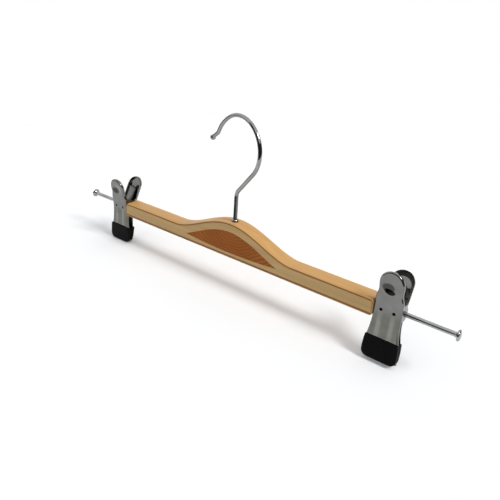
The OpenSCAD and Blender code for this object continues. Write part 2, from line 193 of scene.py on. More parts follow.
def point_normals(points, faces):
    """Normals at the points: the sum of the faces' own, each a cross product of its diagonals."""
    across = np.cross(points[faces[:, 2]] - points[faces[:, 0]],
                      points[faces[:, 3]] - points[faces[:, 1]])
    total = np.zeros_like(points)
    for corner in range(4):
        np.add.at(total, faces[:, corner], across)
    return total / np.maximum(np.linalg.norm(total, axis=1, keepdims=True), 1e-12)


def open_edges(faces):
    """Edges that only one face has, in that face's direction."""
    edges = np.stack([faces, np.roll(faces, -1, axis=1)], -1).reshape(-1, 2)
    edges = edges[edges[:, 0] != edges[:, 1]]
    key = np.sort(edges, axis=1)
    _, back, count = np.unique(key, axis=0, return_inverse=True, return_counts=True)
    return edges[count[back.reshape(-1)] == 1]


def backed(points, faces, back):
    """A closed solid: a surface, the same one moved by back and turned round, and a rim between."""
    rim, n = open_edges(faces), len(points)
    edge = np.stack([rim[:, 1], rim[:, 0], rim[:, 0] + n, rim[:, 1] + n], -1)
    faces = np.concatenate([faces, faces[:, ::-1] + n, edge])
    return np.concatenate([points, points + back]), faces


def thickened(points, faces, wall):
    """A closed sheet: the surface, backed by itself set back along its normals by wall."""
    first, faces = welded(points, faces)
    return backed(points[first], faces, -wall * point_normals(points[first], faces))


def extruded(points, faces, depth):
    """A closed plate: a flat surface facing -Y, backed by itself set back by depth."""
    first, faces = welded(points, faces)
    return backed(points[first], faces, [0, depth, 0])


def linked(name, data):
    """A new object of the scene, with this data."""
    thing = bpy.data.objects.new(name, data)
    bpy.context.scene.collection.objects.link(thing)
    return thing


def mesh_object(name, points, faces, material, values):
    """An object of points in millimetres, with a number for each point under each name."""
    first, faces = welded(points, faces)
    mesh = bpy.data.meshes.new(name)
    mesh.from_pydata((points[first] * MM).tolist(), [], corner_lists(faces))
    for key, value in values.items():
        numbers = mesh.attributes.new(key, "FLOAT", "POINT").data
        numbers.foreach_set("value", value[first].astype(np.float32))
    mesh.materials.append(material)
    return linked(name, mesh)


def piece(name, points, faces, material, body, nodes, slot, sharp=35, values=None, blend=None):
    """Makes a smooth mesh with edges sharper than sharp degrees kept, and ties it to the CAD."""
    thing = mesh_object(name, points, faces, material, values or {})
    mesh = thing.data
    mesh.polygons.foreach_set("use_smooth", np.ones(len(mesh.polygons), dtype=bool))
    mesh.set_sharp_from_angle(angle=np.radians(sharp))
    mesh.update()
    mesh.validate()
    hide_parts(*nodes)
    if blend:
        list(blend)
        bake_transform(thing)
    else:
        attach(thing, body)
    return thing


def bevelled(thing, width):
    """Softens the sharp edges of a piece."""
    bevel = thing.modifiers.new("Soft edges", "BEVEL")
    bevel.width = width * MM
    bevel.segments = 2
    bevel.limit_method = "ANGLE"
    bevel.angle_limit = np.radians(50)
    bevel.harden_normals = True


def quarter(count):
    """Angles from 0 to a right angle."""
    return np.linspace(0, np.pi / 2, count)


def circle(count):
    """Angles once round."""
    return np.linspace(0, 2 * np.pi, count, endpoint=False)


def unit(turn):
    """Points of the unit circle at these angles."""
    return np.stack([np.cos(turn), np.sin(turn)], -1)


def along_line(line):
    """Unit directions along a line of points."""
    along = np.gradient(line, axis=0)
    return along / np.linalg.norm(along, axis=1, keepdims=True)


def lathe(radii, heights, sides):
    """Surface of revolution about Z: a profile of radius and height, turned once round. It faces
    outwards where the profile runs upwards on the outside."""
    radii, heights = np.asarray(radii)[:, None, None], np.asarray(heights)[:, None, None]
    points = radii * np.insert(unit(circle(sides)), 2, 0, axis=1) + heights * [0, 0, 1]
    return points.reshape(-1, 3), grid_faces(len(radii), sides, wrap=True)[:, ::-1]


def tube(line, radii, side, sides):
    """Surface round a line in a plane: at each point a circle of that radius, spanned by the
    plane's normal, side, and the direction square to both it and the line."""
    out = np.cross(side, along_line(line))
    turn = circle(sides)
    points = line[:, None] + np.asarray(radii)[:, None, None] * (
        np.cos(turn)[None, :, None] * out[:, None] + np.sin(turn)[None, :, None] * side)
    return points.reshape(-1, 3), grid_faces(len(line), sides, wrap=True)


def fan(ring, middle, turned=False):
    """Faces from a closed ring to a point, as four-cornered faces with a repeated corner."""
    n = len(ring)
    k = np.arange(n)
    faces = np.stack([k, (k + 1) % n, 0 * k + n, 0 * k + n], -1)
    return np.concatenate([ring, [middle]]), faces[:, ::-1] if turned else faces


def capped(rings):
    """A closed solid: rings of points joined in order, and a fan of faces over each end."""
    rings = np.asarray(rings)
    sides = rings.reshape(-1, 3), grid_faces(*rings.shape[:2], wrap=True)
    return join(sides, fan(rings[0], rings[0].mean(0), turned=True),
                fan(rings[-1], rings[-1].mean(0)))


def smooth(x, low, high):
    """Rises from 0 at low to 1 at high with no corner."""
    u = np.clip((x - low) / (high - low), 0, 1)
    return u * u * (3 - 2 * u)


# Materials

class Value:
    """A link in a material on which Python's operators add Math nodes."""

    def __init__(self, finish, socket):
        self.finish, self.socket = finish, socket

    def math(self, operation, *others, clamp=False):
        """A Math node on this link and the others, in their order."""
        return self.finish.node("ShaderNodeMath", {"operation": operation, "use_clamp": clamp},
                                dict(enumerate((self,) + others)))

    def __add__(self, other):
        return self.math("ADD", other)

    def __sub__(self, other):
        return self.math("SUBTRACT", other)

    def __rsub__(self, other):
        return self * -1 + other

    def __mul__(self, other):
        return self.math("MULTIPLY", other)

    def __pow__(self, other):
        return self.math("POWER", other)

    __radd__, __rmul__ = __add__, __mul__

    def clipped(self):
        """Kept between 0 and 1."""
        return self.math("ADD", 0.0, clamp=True)

    def between(self, low, high):
        """Rises from 0 at low to 1 at high, and is clipped there."""
        return ((self - low) * (1 / (high - low))).clipped()

    def part(self, index):
        """X, Y or Z of a vector."""
        return self.finish.node("ShaderNodeSeparateXYZ", {}, {0: self}, out=index)


class Finish:
    """A material, or the world, and the nodes that make it."""

    def __init__(self, name, owner=None):
        self.data = owner or bpy.data.materials.new(name)
        self.data.use_nodes = True
        self.tree = self.data.node_tree
        self.tree.nodes.clear()

    def node(self, kind, settings, values, out=0):
        """Adds a node: its settings first, then the values or links of its sockets."""
        node = self.tree.nodes.new(kind)
        for key, value in settings.items():
            if key == "stops":
                for element, (position, tint) in zip(node.color_ramp.elements, value):
                    element.position, element.color = position, (*tint, 1)
            else:
                setattr(node, key, value)
        for key, value in values.items():
            if isinstance(value, Value):
                self.tree.links.new(value.socket, node.inputs[key])
            else:
                node.inputs[key].default_value = value
        return Value(self, node.outputs[out]) if node.outputs else None

    def place(self, kind="Object"):
        """The piece's own coordinates in metres, or others of that kind."""
        return self.node("ShaderNodeTexCoord", {}, {}, out=kind)

    def attribute(self, name):
        """A number kept at the mesh's points."""
        return self.node("ShaderNodeAttribute", {"attribute_name": name}, {}, out="Fac")

    def noise(self, place, scales, detail=2.0, rough=0.5, twist=0.0):
        """Noise over a place, with so many waves a metre along X, Y and Z."""
        waves = self.node("ShaderNodeVectorMath", {"operation": "MULTIPLY"}, {0: place, 1: scales})
        return self.node("ShaderNodeTexNoise", {}, {"Vector": waves, "Scale": 1.0, "Detail": detail,
                                                    "Roughness": rough, "Distortion": twist})

    def mix(self, factor, first, second, how="MIX"):
        """A colour between two colours."""
        first, second = (c if isinstance(c, Value) else (*c, 1) for c in (first, second))
        return self.node("ShaderNodeMix", {"data_type": "RGBA", "blend_type": how},
                         {0: factor, 6: first, 7: second}, out=2)

    def bump(self, height, strength, distance):
        """Normals bent as if the height stood out by that distance in metres."""
        return self.node("ShaderNodeBump", {}, {"Strength": strength, "Distance": distance,
                                                "Height": height})

    def light(self, kind, tint, strength=1.0):
        """Light of one colour: an Emission or a Background shader."""
        tint = tint if isinstance(tint, Value) else (*tint, 1)
        return self.node("ShaderNode" + kind, {}, {"Color": tint, "Strength": strength})

    def shared(self, factor, first, second):
        """A mix of two shaders."""
        return self.node("ShaderNodeMixShader", {}, {0: factor, 1: first, 2: second})

    def end(self, shader, kind="Material"):
        """Ends the nodes in an output for a material or the world."""
        self.node("ShaderNodeOutput" + kind, {}, {"Surface": shader})
        return self.data

    def surface(self, **values):
        """Ends the material in a Principled shader with these sockets."""
        names = {key.replace("_", " "): value for key, value in values.items()}
        return self.end(self.node("ShaderNodeBsdfPrincipled", {}, names))


def scaled(tint, factor):
    """A colour made lighter or darker."""
    return tuple(min(1.0, c * factor) for c in tint)


def wood_finish(bar):
    """Lacquered pale wood: long soft bands and fine streaks along X, pores, and a dark glue line
    where the mesh is marked as seam."""
    f = Finish("Lacquered wood")
    place = f.place()
    bands = f.noise(place, (7, 190, 190), twist=0.6)
    streaks = f.noise(place, (28, 1500, 1500), detail=4.0, rough=0.6)
    pores = f.noise(place, (90, 5200, 5200))
    tone = (bands * 0.55 + streaks * 0.45).between(0.33, 0.68)
    wood = f.mix(tone, scaled(bar.wood, 0.86), scaled(bar.wood, 1.1))
    wood = f.mix(pores.between(0.62, 0.75) * 0.35, wood, scaled(bar.wood, 0.62))
    base = f.mix(f.attribute("seam"), wood, tuple(bar.seam))
    grain = f.bump(streaks + pores * 0.5, strength=0.12, distance=0.0002)
    return f.surface(Base_Color=base, Roughness=tone * -0.08 + 0.45, Coat_Weight=0.06,
                     Coat_Roughness=0.25, Specular_IOR_Level=0.2, Normal=grain)


def facing_finish(bar, low):
    """Pale straight-grained veneer, with thin streaks along X and glue over its lower edge, low."""
    f = Finish("Pale veneer")
    place = f.place()
    bands = f.noise(place, (5, 60, 240), twist=0.3)
    streaks = f.noise(place, (22, 400, 2300), detail=4.0, rough=0.6)
    tone = (bands * 0.5 + streaks * 0.5).between(0.34, 0.66)
    base = f.mix(tone, scaled(bar.facing, 0.86), scaled(bar.facing, 1.12))
    glue_full, glue_end = low + 0.0004, low + 0.0009
    base = f.mix(place.part(2).between(glue_full, glue_end), tuple(bar.seam), base)
    grain = f.bump(streaks, strength=0.12, distance=0.0002)
    return f.surface(Base_Color=base, Roughness=0.5, Coat_Weight=0.06, Coat_Roughness=0.3,
                     Specular_IOR_Level=0.15, Normal=grain)


def inlay_finish(bar, rail_height):
    """Red-brown cross-cut wood: growth rings as ovals round a point near its upper edge, wavered
    by noise, with a fine fleck between them."""
    f = Finish("Ring-cut inlay")
    place = f.place()
    heart_x, heart_z, squash, rings_a_metre = 0.004, 0.0165 - rail_height, 0.62, 460
    x, z = place.part(0) - heart_x, place.part(2) - heart_z
    waver = f.noise(place, (60, 1, 60)) * 0.006
    far = ((x * squash) ** 2 + z ** 2) ** 0.5 + waver
    rings = (far * rings_a_metre).math("FRACT")
    late = rings.between(0.3, 0.8) * (1 - rings.between(0.85, 1.0))
    fleck = f.noise(place, (260, 1, 700), detail=4.0, rough=0.6)
    cloud = f.noise(place, (45, 1, 60))
    base = f.mix(cloud.between(0.35, 0.65), scaled(bar.inlay, 0.92), scaled(bar.inlay, 1.16))
    base = f.mix(late * 0.8, base, scaled(bar.inlay, 0.55))
    base = f.mix(fleck.between(0.4, 0.7) * 0.25, base, scaled(bar.inlay, 0.7))
    grain = f.bump(late + fleck * 0.5, strength=0.08, distance=0.0002)
    return f.surface(Base_Color=base, Roughness=0.48, Coat_Weight=0.04, Coat_Roughness=0.3,
                     Specular_IOR_Level=0.08, Normal=grain)


def metal_finish(name, tint, rough, scratch, grain=(400, 400, 400), marked=None):
    """Plated steel: a nearly even tone, cloudy polish and fine scratches in the roughness. Where
    the mesh marks them, reflections are painted into the colour: a jaw's foot is painted a little
    darker as reflected shade, with mottled painted highlight streaks, its thumb bowl holds a
    painted dark reflection, and a wire is painted nearly black as a dark reflection."""
    f = Finish(name)
    place = f.place()
    cloud = f.noise(place, (130, 130, 130), detail=3.0, rough=0.55)
    fine = f.noise(place, grain, detail=5.0, rough=0.65)
    base = f.mix(cloud.between(0.3, 0.7), scaled(tint, 0.84), scaled(tint, 1.08))
    # Painted dark reflection: the hook's shank and a line along the right rod are darkened nearly
    # to black
    if marked == "dark":
        base = f.mix(f.attribute("dark"), base, (0.08, 0.08, 0.08), "MULTIPLY")
    # Painted reflections on a jaw: the foot darkened as reflected shade, light painted highlight
    # streaks under the holes, and a painted dark reflection in the thumb bowl
    if marked == "foot":
        foot = f.attribute("foot")
        mottled = f.noise(place, (300, 300, 90)).between(0.3, 0.6)
        painted_highlight_streak = f.attribute("painted_highlight_streak") * (mottled * 0.5 + 0.5)
        base = f.mix(foot * (1 - painted_highlight_streak), base, (0.8, 0.79, 0.74), "MULTIPLY")
        base = f.mix(foot * painted_highlight_streak, base, (1.22, 1.21, 1.13), "MULTIPLY")
        base = f.mix(f.attribute("bowl"), base, (0.36, 0.34, 0.34), "MULTIPLY")
    return f.surface(Base_Color=base, Metallic=1.0,
                     Roughness=cloud * scratch + fine * scratch + (rough - scratch),
                     Normal=f.bump(fine, strength=0.03, distance=0.0001))


def rubber_finish(clip):
    """Black moulded rubber: a matt, faintly mottled skin."""
    f = Finish("Black rubber")
    place = f.place()
    mottle = f.noise(place, (300, 300, 300), detail=3.0)
    pebble = f.noise(place, (2600, 2600, 2600))
    base = f.mix(mottle.between(0.35, 0.65), scaled(clip.rubber, 0.8), scaled(clip.rubber, 1.3))
    return f.surface(Base_Color=base, Roughness=mottle * 0.15 + 0.42, Specular_IOR_Level=0.06,
                     Normal=f.bump(pebble, strength=0.12, distance=0.0001))


# Bar

class BarShape:
    """Lines of the bar in millimetres, over its own length X and height Z."""
    # The ends are rounder than the edges, and take this share of an inset
    end_round, end_share = 2.3, 0.6
    # Round the facing: the flat left beside the rounded edge, the sill under it, and its corners
    flat, sill, corner = 0.1, 0.5, 1.1
    # Inlay: its tips' place over the rods, the rail above its middle, and its lower edge's sag
    inlay_tip, rail, sag = -0.3, 5.8, 2.2
    hump_power, arc_steps, hump_steps = 0.85, 8, 120

    def __init__(self, bar, rail_height):
        self.end, self.half_t = mm(bar.bar_length) / 2, mm(bar.thickness) / 2
        self.rod_z = -mm(rail_height)
        self.top = self.rod_z + mm(bar.over_rod)
        self.bottom = self.top - mm(bar.height)
        self.round = mm(bar.rounding)
        self.rise, self.hump_half = mm(bar.hump_rise), mm(bar.hump_length) / 2
        self.facing_t = mm(bar.facing_thickness)
        self.edge = self.round + self.flat
        self.inlay_half = mm(bar.inlay_length) / 2

    def hump(self, x):
        """A raised cosine to a power under 1, which is a little fuller than the plain one."""
        u = np.clip(np.abs(x) / self.hump_half, 0, 1)
        return self.rise * ((1 + np.cos(np.pi * u)) / 2) ** self.hump_power

    def outline(self, inset, r, sill):
        """Closed outline in X and Z: two lower quarter rounds, an upper one, the top with its
        hump, and the last upper quarter round."""
        end, low, high = self.end - inset, self.bottom + inset + sill, self.top - inset
        turn = quarter(self.arc_steps + 1)
        x = np.linspace(self.hump_half, -self.hump_half, self.hump_steps + 1)
        line = np.concatenate([[r - end, low + r] + r * unit(np.pi + turn),
                               [end - r, low + r] + r * unit(turn - np.pi / 2),
                               [end - r, high - r] + r * unit(turn),
                               np.stack([x, high + self.hump(x)], -1),
                               [r - end, high - r] + r * unit(np.pi / 2 + turn)])
        out = np.abs(line[:, 0]) > self.hump_half
        line[out, 0] += np.sign(line[out, 0]) * inset * (1 - self.end_share)
        return line

    def facing_bounds(self, x, gap):
        """Lowest and highest Z of the facing at X, rounded at its four corners."""
        end, r = self.end - self.edge * self.end_share + gap, self.corner
        cut = r - np.sqrt(np.maximum(r * r - np.maximum(np.abs(x) - (end - r), 0) ** 2, 0))
        return (self.bottom + self.edge + self.sill - gap + cut,
                self.top - self.edge + gap + self.hump(x) - cut)

    def inlay_bounds(self, x):
        """Lowest and highest Z of the inlay at X: a sagging lower edge, and an upper one under a
        rail of the facing that widens from the middle to the points."""
        u2 = np.clip(np.abs(x) / self.inlay_half, 0, 1) ** 2
        tip_z = self.rod_z + self.inlay_tip
        end_rail = self.top - self.edge + self.hump(self.inlay_half) - tip_z
        rail = self.rail + (end_rail - self.rail) * u2
        return (tip_z - self.sag * (1 - u2),
                np.where(u2 >= 1, tip_z, self.top - self.edge + self.hump(x) - rail))


def strip(x, low, high, y, rows):
    """Flat grid facing -Y between two edges over X."""
    u = np.linspace(0, 1, rows)
    z = low[:, None] + (high - low)[:, None] * u
    points = np.stack([np.broadcast_to(x[:, None], z.shape), np.full(z.shape, y), z], -1)
    return points.reshape(-1, 3), grid_faces(len(x), rows)


class HANGER_OT_bar(bpy.types.Operator):
    """Build the wooden bar with its rounded edges and the recess for the facing"""
    bl_idname = "hanger.bar"
    bl_label = "Bar"

    def execute(self, context):
        bar = context.scene.hanger_bar
        shape = BarShape(bar, context.scene.hanger_hook.rail_height)
        t, r, seat = shape.half_t, shape.round, shape.half_t - shape.facing_t
        turn = quarter(9)
        round_y, round_in = t - r * (1 - np.cos(turn)), r * (1 - np.sin(turn))
        e, c, s = shape.edge, shape.corner, shape.sill
        # Rings from back to front: depth Y, inset, corner radius, extra sill. The last six narrow
        # to the recess, whose wall goes straight back to the facing's seat
        rings = [(y, i, shape.end_round - i, 0) for y, i in zip(round_y, round_in)]
        rings += [(-y, i, shape.end_round - i, 0) for y, i in zip(round_y[::-1], round_in[::-1])]
        rings += [(-t, r + 0.02, c + 0.05, 0.3 * s), (-t, r + 0.04, c + 0.04, 0.6 * s),
                  (-t + 0.02, e - 0.04, c + 0.02, s), (-t + 0.14, e - 0.03, c, s),
                  (-t + 0.5, e - 0.03, c, s), (-seat, e - 0.03, c, s)]
        loops = [np.insert(shape.outline(i, k, sill), 1, y, axis=1) for y, i, k, sill in rings]
        n = len(loops[0])
        sides = np.concatenate(loops), grid_faces(len(loops), n, wrap=True)[:, ::-1]
        back = fan(loops[0], [0, t, shape.rod_z])
        front = fan(loops[-1], [0, -seat, shape.rod_z], turned=True)
        points, faces = join(sides, back, front)
        # The seam's mark falls from 1 to 0 over the distance out from the facing's edge
        seam_from, seam_to = 0.75, 1.05
        low = points[:len(loops) * n, 2] < shape.rod_z
        y, inset, _, sill = np.repeat(rings, n, axis=0).T
        away = e - inset + np.where(low, s - sill, 0)
        marks = np.where(y < 0, 1 - smooth(away, seam_from, seam_to), 0)
        marks = np.concatenate([marks, np.zeros(n + 1), np.ones(n + 1)])
        piece("bar_wood", points, faces, wood_finish(bar), "bar", ["bar"], "wood", sharp=45,
              values={"seam": marks})
        return {"FINISHED"}


class HANGER_OT_facing(bpy.types.Operator):
    """Build the pale facing round the inlay, and the inlay"""
    bl_idname = "hanger.facing"
    bl_label = "Facing and inlay"

    def execute(self, context):
        bar, rail_height = context.scene.hanger_bar, context.scene.hanger_hook.rail_height
        shape = BarShape(bar, rail_height)
        y, gap, glue = -shape.half_t, 0.06, 0.03
        depth = shape.facing_t - glue
        corner = (1 - np.cos(quarter(7))) * shape.corner
        end = shape.end - shape.edge * shape.end_share - gap
        tip_x, tip_z = shape.inlay_half + gap * 2, shape.rod_z + shape.inlay_tip
        half = np.linspace(0, 1, 60) * tip_x
        middle = np.concatenate([-half[::-1], half[1:]])
        outer = np.linspace(tip_x, end - shape.corner, 30)[1:]
        right = np.concatenate([outer[:-1], end - corner[::-1]])
        x = np.concatenate([-right[::-1], middle, right])
        low, high = shape.facing_bounds(x, -gap)
        near = np.abs(x) < tip_x - 1e-6
        inlay_low, inlay_high = shape.inlay_bounds(x * shape.inlay_half / tip_x)
        upper = strip(x, np.where(near, inlay_high + gap, tip_z), high, y, rows=7)
        lower = strip(x, low, np.where(near, inlay_low - gap, tip_z), y, rows=5)
        facing = piece("pale_facing", *extruded(*join(lower, upper), depth),
                       facing_finish(bar, low.min() * MM), "bar", ["front_facing"], "pale_veneer")
        bevelled(facing, width=0.13)
        x = np.linspace(-shape.inlay_half, shape.inlay_half, 121)
        front = strip(x, *shape.inlay_bounds(x), y, rows=9)
        inlay = piece("dark_inlay", *extruded(*front, depth), inlay_finish(bar, rail_height),
                      "bar", ["inlay_panel"], "dark_veneer")
        bevelled(inlay, width=0.05)
        return {"FINISHED"}


# Hook, bush and rods

class HookShape:
    """Middle line of the hook in its own upright plane, in millimetres."""
    # The eye's centre stands aside of the shank, whose neck leans after a bend of this radius
    shift, neck_lean, neck_bend = 1.1, np.radians(42.4), 7.7
    # The eye widens to a second radius, and the curl turns back from its end
    relax_from, relax_r = np.radians(118.5), 31.1
    curl_from, curl_r, curl_turn = np.radians(153.6), 8.3, np.radians(25.8)
    # The bush: its collar's depth in the hump, its barrel, and the gap from it to the hook's foot
    sunk, barrel, barrel_r, collar_r, play = 0.38, 8.0, 2.6, 2.9, 0.15
    foot_r, foot_share = 2.45, 0.72
    # The ball, in shares of its radius beyond the curl, and of the wire's where they meet
    ball_out, ball_neck = 2.8, 1.02
    arc_step = 0.035

    def __init__(self, hook, bar):
        self.r, ball_r, eye_half = mm(hook.wire) / 2, mm(hook.ball) / 2, mm(hook.eye) / 2
        eye_r, lean = eye_half + self.r, self.neck_lean
        eye = np.array([-self.shift, -np.sqrt(eye_half ** 2 - self.shift ** 2)])
        neck_top = eye + eye_r * unit(-lean)
        corner_z = neck_top[1] - neck_top[0] / np.tan(lean)
        shank_top = np.array([0, corner_z - self.neck_bend * np.tan(lean / 2)])
        relax = eye - (self.relax_r - eye_r) * unit(self.relax_from)
        curl = relax + (self.relax_r + self.curl_r) * unit(self.curl_from)
        curl_end = self.curl_from + np.pi - self.curl_turn
        bends = [self.arc(shank_top + [self.neck_bend, 0], self.neck_bend, np.pi, np.pi - lean),
                 self.arc(eye, eye_r, -lean, self.relax_from),
                 self.arc(relax, self.relax_r, self.relax_from, self.curl_from)[1:],
                 self.arc(curl, self.curl_r, self.curl_from + np.pi, curl_end)[1:]]
        bends = np.concatenate(bends)
        self.collar_z = -mm(hook.rail_height) + mm(bar.over_rod) + mm(bar.hump_rise) - self.sunk
        # The upset foot: height over its underside, and radius
        foot_t, foot_r = self.r * self.foot_share, self.foot_r
        foot_z = self.collar_z - self.barrel - self.play - foot_t
        foot = np.array([(0, 0), (0.01, foot_r), (foot_t, foot_r), (foot_t, foot_r * 0.99),
                         (foot_t + 0.05, self.r), (foot_t + 0.6, self.r)])
        shank = np.stack([0 * foot[:, 0], foot_z + foot[:, 0]], -1)
        shank = np.concatenate([shank, np.linspace(shank[-1] + [0, 2], shank_top - [0, 0.8], 12)])
        # The ball: sine of the angle from its middle gives how far along, cosine gives the radius
        ball_at = ball_r * self.ball_out
        start = np.sqrt(ball_r ** 2 - (self.r * self.ball_neck) ** 2)
        turn = np.linspace(-np.arcsin(start / ball_r), np.pi / 2, 14)
        wire = np.linspace(0.6, ball_at - start - 0.25, 3)
        along = np.concatenate([wire, ball_at + ball_r * np.sin(turn)])
        tip = bends[-1] + along[:, None] * unit(curl_end - np.pi / 2)
        self.line = np.concatenate([shank, bends, tip])
        even = len(shank) - len(foot) + len(bends) + len(wire)
        self.radii = np.concatenate([foot[:, 1], np.full(even, self.r), ball_r * np.cos(turn)])

    def arc(self, centre, radius, start, end):
        """Points of an arc from one angle to another."""
        count = int(np.ceil(abs(end - start) / self.arc_step)) + 1
        return centre + radius * unit(np.linspace(start, end, count))

    def painted_shank_reflection(self, points, way):
        """Painted dark reflection of the shank: 1 on the straight stretch above the bush, but for a
        painted light line down its front right: a bell curve over the angle round it, in degrees."""
        line_at, line_width, line_share, close = -14, 26, 0.85, 0.05
        straight = np.abs(self.line[:, 0] - self.line[0, 0]) < close
        bend = self.line[straight, 1].max()
        middle = self.line[0, 0] * way
        round_it = np.degrees(np.arctan2(points[:, 1] - middle[1], points[:, 0] - middle[0]))
        light = line_share * np.exp(-((round_it - line_at) / line_width) ** 2)
        return (1 - smooth(points[:, 2], bend - 1, bend + 1.5)) * (1 - light)

    def bush(self):
        """The bush's profile, up its outside and down its bore: radius, and height over the
        collar's underside."""
        r, bore = self.collar_r, self.r + 0.05
        return np.array([(bore, -self.barrel), (self.barrel_r, -self.barrel), (self.barrel_r, 0),
                         (r - 0.05, 0), (r, 0.05), (r, 0.85), (r - 0.1, 1.2), (r - 0.35, 1.7),
                         (r - 0.62, 2.1), (r - 0.8, 2.24), (bore + 0.12, 2.28), (bore, 2.2),
                         (bore, -self.barrel)])


class HANGER_OT_hook(bpy.types.Operator):
    """Build the swivel hook with its upset foot and ball tip, and the bush it turns in"""
    bl_idname = "hanger.hook"
    bl_label = "Hook and bush"

    def execute(self, context):
        hook, bar = context.scene.hanger_hook, context.scene.hanger_bar
        shape = HookShape(hook, bar)
        way = np.array([np.cos(hook.turn), np.sin(hook.turn), 0])
        side = np.array([-np.sin(hook.turn), np.cos(hook.turn), 0])
        line = shape.line[:, :1] * way + shape.line[:, 1:] * [0, 0, 1]
        points, faces = tube(line, shape.radii, side, sides=28)
        chrome = metal_finish("Bright plating", hook.metal, rough=0.07, scratch=0.02)
        # The wire's shank gets a painted dark reflection, with a painted light line down its front
        # right
        plated = metal_finish("Plated wire", hook.metal, rough=0.07, scratch=0.02, marked="dark")
        piece("wire_hook", points, faces, plated, "hook", ["hook"], "bright_steel", sharp=60,
              values={"dark": shape.painted_shank_reflection(points, way)})
        radii, heights = shape.bush().T
        points, faces = lathe(radii, heights + shape.collar_z, sides=48)
        piece("hook_bush_turned", points, faces, chrome, "bar", ["hook_bush"], "bright_steel")
        return {"FINISHED"}


class HANGER_OT_rods(bpy.types.Operator):
    """Build the two rods with their flared necks and domed heads"""
    bl_idname = "hanger.rods"
    bl_label = "Rods"

    def execute(self, context):
        hook, bar = context.scene.hanger_hook, context.scene.hanger_bar
        chrome = metal_finish("Bright rods", scaled(hook.metal, 1.3), rough=0.06, scratch=0.02,
                              marked="dark")
        r, head, end = mm(hook.rod) / 2, mm(hook.head) / 2, mm(bar.bar_length) / 2
        tip, hidden, head_t, flare, dome, ease = end + mm(hook.rod_out), 22, 2.0, 2.0, 1.2, 0.2
        neck = tip - head_t
        # Flare: the radius grows with the cube of the way along; dome: a flat quarter of an oval
        u, turn = np.linspace(0, 1, 12), quarter(16)
        radii = np.concatenate([[0, r - ease, r], np.full(20, r), r + (head - 0.15 - r) * u ** 3,
                                [head - 0.04, head], head * np.cos(turn)])
        along = np.concatenate([[end - hidden, end - hidden, end - hidden + ease],
                                np.linspace(end - hidden + 2, neck - flare - 0.5, 20),
                                neck - flare * (1 - u), [neck + 0.08, neck + 0.22],
                                tip - dome * (1 - np.sin(turn))])
        # The right rod has a painted dark reflection, a thin dark line along its front, a little
        # up, that ends at its head: a bell curve over degrees up from the front
        line_at, line_width, line_from, line_to = 22, 14, neck - 3, neck - 1
        for name, side in SIDES.items():
            points, faces = lathe(radii, along, sides=40)
            points = np.stack([side * points[:, 2], points[:, 1], -side * points[:, 0]], -1)
            up = np.degrees(np.arctan2(points[:, 2], -points[:, 1]))
            line = np.exp(-((up - line_at) / line_width) ** 2)
            line = line * (1 - smooth(points[:, 0], line_from, line_to)) * (side > 0)
            points[:, 2] -= mm(hook.rail_height)
            piece(f"{name}_headed_rod", points, faces, chrome, "bar", [f"{name}_rod"],
                  "bright_steel", values={"dark": line})
        return {"FINISHED"}


# Clips

